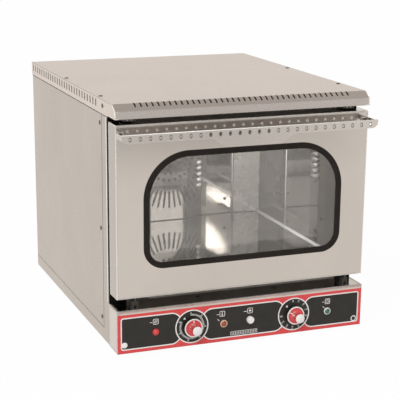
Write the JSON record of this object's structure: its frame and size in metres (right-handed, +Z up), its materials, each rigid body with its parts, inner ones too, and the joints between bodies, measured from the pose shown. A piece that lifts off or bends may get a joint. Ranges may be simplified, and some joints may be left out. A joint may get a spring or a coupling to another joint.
{
  "type": "convection pastry oven",
  "caption": "Countertop convection oven for pastry: steel casing, drop-down glazed door with a perforated full-width handle, fan baffle, and a panel with dials, lamps and a button.",
  "frame": {"origin": "centre of the bounding box's base, on the surface that the feet stand on", "axes": "+X to the right as seen from the front, +Y from the door to the back, +Z up"},
  "size_m": [0.6028, 0.7876, 0.5654],
  "materials": {
    "casing_steel": "satin sheet",
    "polished_steel": "polished sheet",
    "door_liner_steel": "satin sheet",
    "cavity_steel": "polished sheet",
    "fastener_steel": "dark plated",
    "hinge_steel": "plated",
    "shaft_steel": "turned",
    "fan_steel": "stamped sheet",
    "motor_alloy": "die-cast",
    "element_sheath": "heat-darkened",
    "wool": "matt mineral wool",
    "window_rubber": "matt",
    "foot_rubber": "matt",
    "window_glass": "clear",
    "overlay_print": "printed film",
    "knob_plastic": "moulded",
    "unit_plastic": "moulded",
    "button_plastic": "moulded",
    "red_lens": "translucent",
    "amber_lens": "translucent",
    "green_lens": "translucent"
  },
  "bodies": {
    "cabinet": {"top_cover": "casing_steel", "right_side_panel": "casing_steel", "left_side_panel": "casing_steel", "base_tray": "casing_steel", "back_panel": "casing_steel", "front_post_right": "casing_steel", "front_post_left": "casing_steel", "front_rail_bottom": "casing_steel", "front_rail_top": "casing_steel", "control_panel": "casing_steel", "cavity_floor": "cavity_steel", "cavity_ceiling": "cavity_steel", "cavity_left_wall": "cavity_steel", "cavity_right_wall": "cavity_steel", "cavity_back_wall": "cavity_steel", "fan_baffle": "cavity_steel", "air_guides": "cavity_steel", "baffle_standoffs": "cavity_steel", "casing_screws": "fastener_steel", "baffle_screws": "fastener_steel", "hinge_brackets": "hinge_steel", "hinge_pins": "hinge_steel", "door_catches": "hinge_steel", "rack_studs": "hinge_steel", "thermostat_probe": "shaft_steel", "motor_bracket": "fan_steel", "fan_motor": "motor_alloy", "heating_element": "element_sheath", "side_insulation": "wool", "top_insulation": "wool", "bottom_insulation": "wool", "back_insulation": "wool", "door_seal": "window_rubber", "feet": "foot_rubber", "panel_overlay": "overlay_print", "timer_unit": "unit_plastic", "thermostat_unit": "unit_plastic", "button_switch": "unit_plastic", "terminal_block": "unit_plastic", "cable_gland": "unit_plastic", "red_lamp": "red_lens", "amber_lamp": "amber_lens", "green_lamp": "green_lens"},
    "door": {"door_outer_panel": "polished_steel", "door_inner_panel": "door_liner_steel", "outer_glass": "window_glass", "inner_glass": "window_glass", "window_gasket": "window_rubber", "inner_glass_seal": "window_rubber", "door_handle": "polished_steel", "handle_screws": "fastener_steel", "hinge_leaves": "hinge_steel"},
    "fan": {"motor_shaft": "shaft_steel", "fan_rotor": "fan_steel"},
    "timer_dial": {"timer_spindle": "shaft_steel", "timer_knob": "knob_plastic"},
    "thermostat_dial": {"thermostat_spindle": "shaft_steel", "thermostat_knob": "knob_plastic"},
    "button": {"push_button": "button_plastic"}
  },
  "joints": [
    {"name": "door_hinge", "type": "hinge", "parent": "cabinet", "child": "door", "pos_m": [0, -0.34075, 0.124], "axis": [1, 0, 0], "range_deg": [0, 90]},
    {"name": "fan_spin", "type": "hinge", "parent": "cabinet", "child": "fan", "pos_m": [0, 0.2, 0.342], "axis": [0, 1, 0], "continuous": true},
    {"name": "timer_turn", "type": "hinge", "parent": "cabinet", "child": "timer_dial", "pos_m": [-0.1255, -0.35275, 0.0575], "axis": [0, 1, 0], "range_deg": [0, 300]},
    {"name": "thermostat_turn", "type": "hinge", "parent": "cabinet", "child": "thermostat_dial", "pos_m": [0.1255, -0.35275, 0.0575], "axis": [0, 1, 0], "range_deg": [0, 270]},
    {"name": "button_press", "type": "slide", "parent": "cabinet", "child": "button", "axis": [0, 1, 0], "range_m": [0, 0.003], "stiffness_N_per_m": 400}
  ]
}
